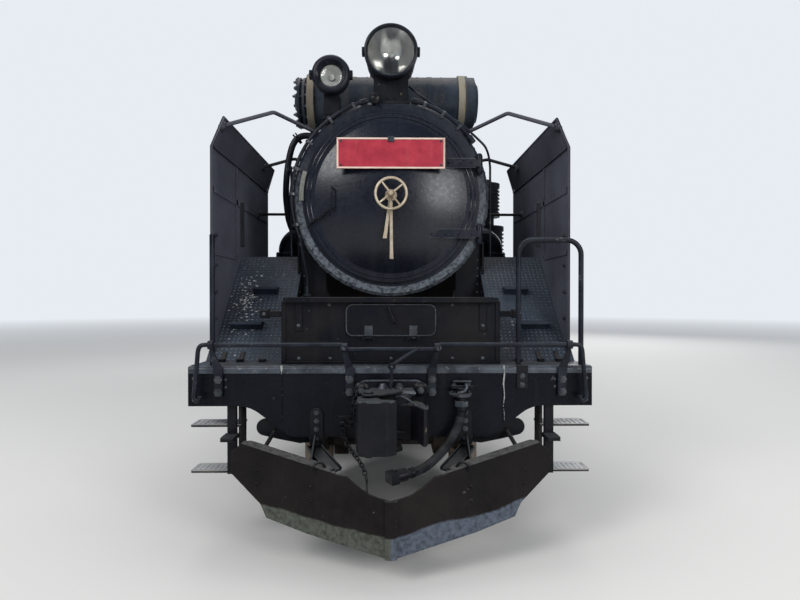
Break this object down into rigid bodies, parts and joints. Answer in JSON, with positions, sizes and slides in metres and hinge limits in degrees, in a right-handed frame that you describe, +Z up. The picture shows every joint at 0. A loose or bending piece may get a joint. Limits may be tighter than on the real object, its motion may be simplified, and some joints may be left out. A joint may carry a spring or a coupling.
{
  "type": "steam locomotive",
  "caption": "Black tender steam engine with smoke deflectors, a feedwater heater drum, working wheels, rods, trucks and doors, without its tender.",
  "frame": {"origin": "floor level at the tips of the wheel flanges, in the middle of the engine's length and width", "axes": "+Z up, -Y the engine's front, +X the engine's left side"},
  "size_m": [2.84, 11.13, 3.928],
  "materials": {
    "black_paint": "weathered satin black",
    "brass": "dull yellow brass",
    "bright_steel": "worn machined steel",
    "cab_paint": "satin black outside",
    "cast_black": "rough casting",
    "frame_black": "grimy dark frame paint",
    "hose_rubber": "weathered black rubber",
    "pane": "clear window glass",
    "plate_red": "red enamel with a pale rim",
    "plow_paint": "chipped black over primer"
  },
  "bodies": {
    "root": {"air_compressor": "cast_black", "air_reservoirs": "black_paint", "angle_cock": "cast_black", "boiler_barrel": "black_paint", "boiler_top_fittings": "black_paint", "brake_hose": "hose_rubber", "brake_rigging": "frame_black", "cab_ends": "cab_paint", "cab_fittings": "cab_paint", "cab_floor": "cab_paint", "cab_glass": "pane", "cab_roof": "cab_paint", "cab_sides": "cab_paint", "chimney": "black_paint", "coupler_body": "cast_black", "cylinders": "black_paint", "dome_casing": "black_paint", "drawbar": "frame_black", "feedwater_heater": "black_paint", "feedwater_pump": "cast_black", "firebox": "black_paint", "frame_extensions": "frame_black", "frame_stretchers": "frame_black", "front_beam": "black_paint", "handrails": "black_paint", "hose_coupling": "cast_black", "lamps": "black_paint", "main_frame": "frame_black", "motion_brackets": "frame_black", "pipework": "black_paint", "running_boards": "black_paint", "saddle_box": "black_paint", "slide_bars": "bright_steel", "smoke_deflectors": "black_paint", "smokebox": "black_paint", "snowplow": "plow_paint", "step_hangers": "frame_black", "uncoupling_lever": "black_paint", "valve_gear": "bright_steel"},
    "leading_truck": {"leading_truck_frame": "frame_black"},
    "leading_axle": {"leading_wheelset": "cast_black"},
    "front_driving_axle": {"front_driving_wheelset": "cast_black"},
    "main_driving_axle": {"main_driving_wheelset": "cast_black"},
    "rear_driving_axle": {"rear_driving_wheelset": "cast_black"},
    "side_rod_left": {"side_rod_left": "bright_steel"},
    "side_rod_right": {"side_rod_right": "bright_steel"},
    "crosshead_left": {"crosshead_left": "bright_steel"},
    "crosshead_right": {"crosshead_right": "bright_steel"},
    "main_rod_left": {"main_rod_left": "bright_steel"},
    "main_rod_right": {"main_rod_right": "bright_steel"},
    "trailing_truck": {"trailing_truck_frame": "frame_black"},
    "trailing_axle": {"trailing_wheelset": "cast_black"},
    "smokebox_door": {"smokebox_door": "black_paint", "door_handwheel": "brass", "number_plate": "plate_red"},
    "front_hatch": {"front_hatch": "black_paint"},
    "cab_door_left": {"cab_door_left": "cab_paint"},
    "cab_door_right": {"cab_door_right": "cab_paint"},
    "coupler_knuckle": {"coupler_knuckle": "cast_black"}
  },
  "joints": [
    {"name": "leading_truck_swing", "type": "hinge", "parent": "root", "child": "leading_truck", "pos_m": [0, -2.785, 0.6], "axis": [0, 0, 1], "range_deg": [-3, 3]},
    {"name": "leading_axle_turn", "type": "hinge", "parent": "leading_truck", "child": "leading_axle", "pos_m": [0, -3.935, 0.458], "axis": [1, 0, 0], "continuous": true},
    {"name": "main_axle_turn", "type": "hinge", "parent": "root", "child": "main_driving_axle", "pos_m": [0, 0.315, 0.788], "axis": [1, 0, 0], "continuous": true},
    {"name": "front_axle_turn", "type": "hinge", "parent": "root", "child": "front_driving_axle", "pos_m": [0, -1.435, 0.788], "axis": [1, 0, 0], "continuous": true},
    {"name": "rear_axle_turn", "type": "hinge", "parent": "root", "child": "rear_driving_axle", "pos_m": [0, 2.065, 0.788], "axis": [1, 0, 0], "continuous": true},
    {"name": "side_rod_left_turn", "type": "hinge", "parent": "main_driving_axle", "child": "side_rod_left", "pos_m": [0.84, 0.01, 0.788], "axis": [1, 0, 0], "continuous": true},
    {"name": "side_rod_right_turn", "type": "hinge", "parent": "main_driving_axle", "child": "side_rod_right", "pos_m": [-0.84, 0.315, 0.483], "axis": [1, 0, 0], "continuous": true},
    {"name": "crosshead_left_slide", "type": "slide", "parent": "root", "child": "crosshead_left", "axis": [0, 1, 0], "range_m": [0, 0.61]},
    {"name": "crosshead_right_slide", "type": "slide", "parent": "root", "child": "crosshead_right", "axis": [0, 1, 0], "range_m": [-0.32624, 0.28376]},
    {"name": "main_rod_left_swing", "type": "hinge", "parent": "crosshead_left", "child": "main_rod_left", "pos_m": [0.94, -2.19, 0.788], "axis": [1, 0, 0], "range_deg": [-7.97, 7.97]},
    {"name": "main_rod_right_swing", "type": "hinge", "parent": "crosshead_right", "child": "main_rod_right", "pos_m": [-0.94, -1.86376, 0.788], "axis": [1, 0, 0], "range_deg": [0, 15.94]},
    {"name": "trailing_truck_swing", "type": "hinge", "parent": "root", "child": "trailing_truck", "pos_m": [0, 3.165, 0.6], "axis": [0, 0, 1], "range_deg": [-3, 3]},
    {"name": "trailing_axle_turn", "type": "hinge", "parent": "trailing_truck", "child": "trailing_axle", "pos_m": [0, 4.215, 0.458], "axis": [1, 0, 0], "continuous": true},
    {"name": "smokebox_door_swing", "type": "hinge", "parent": "root", "child": "smokebox_door", "pos_m": [0.662, -4.247, 2.308], "axis": [0, 0, 1], "range_deg": [0, 90]},
    {"name": "front_hatch_swing", "type": "hinge", "parent": "root", "child": "front_hatch", "pos_m": [0, -4.969, 1.306], "axis": [1, 0, 0], "range_deg": [0, 80]},
    {"name": "cab_door_left_swing", "type": "hinge", "parent": "root", "child": "cab_door_left", "pos_m": [1.37, 4.659, 2.3], "axis": [0, 0, 1], "range_deg": [0, 90]},
    {"name": "cab_door_right_swing", "type": "hinge", "parent": "root", "child": "cab_door_right", "pos_m": [-1.37, 4.659, 2.3], "axis": [0, 0, 1], "range_deg": [-90, 0]},
    {"name": "coupler_knuckle_swing", "type": "hinge", "parent": "root", "child": "coupler_knuckle", "pos_m": [-0.125, -5.41, 0.865], "axis": [0, 0, 1], "range_deg": [-45, 0]}
  ],
  "couplings": [
    {"joint": "front_axle_turn", "follows": "main_axle_turn", "ratio": 1},
    {"joint": "rear_axle_turn", "follows": "main_axle_turn", "ratio": 1},
    {"joint": "side_rod_left_turn", "follows": "main_axle_turn", "ratio": -1},
    {"joint": "side_rod_right_turn", "follows": "main_axle_turn", "ratio": -1}
  ]
}
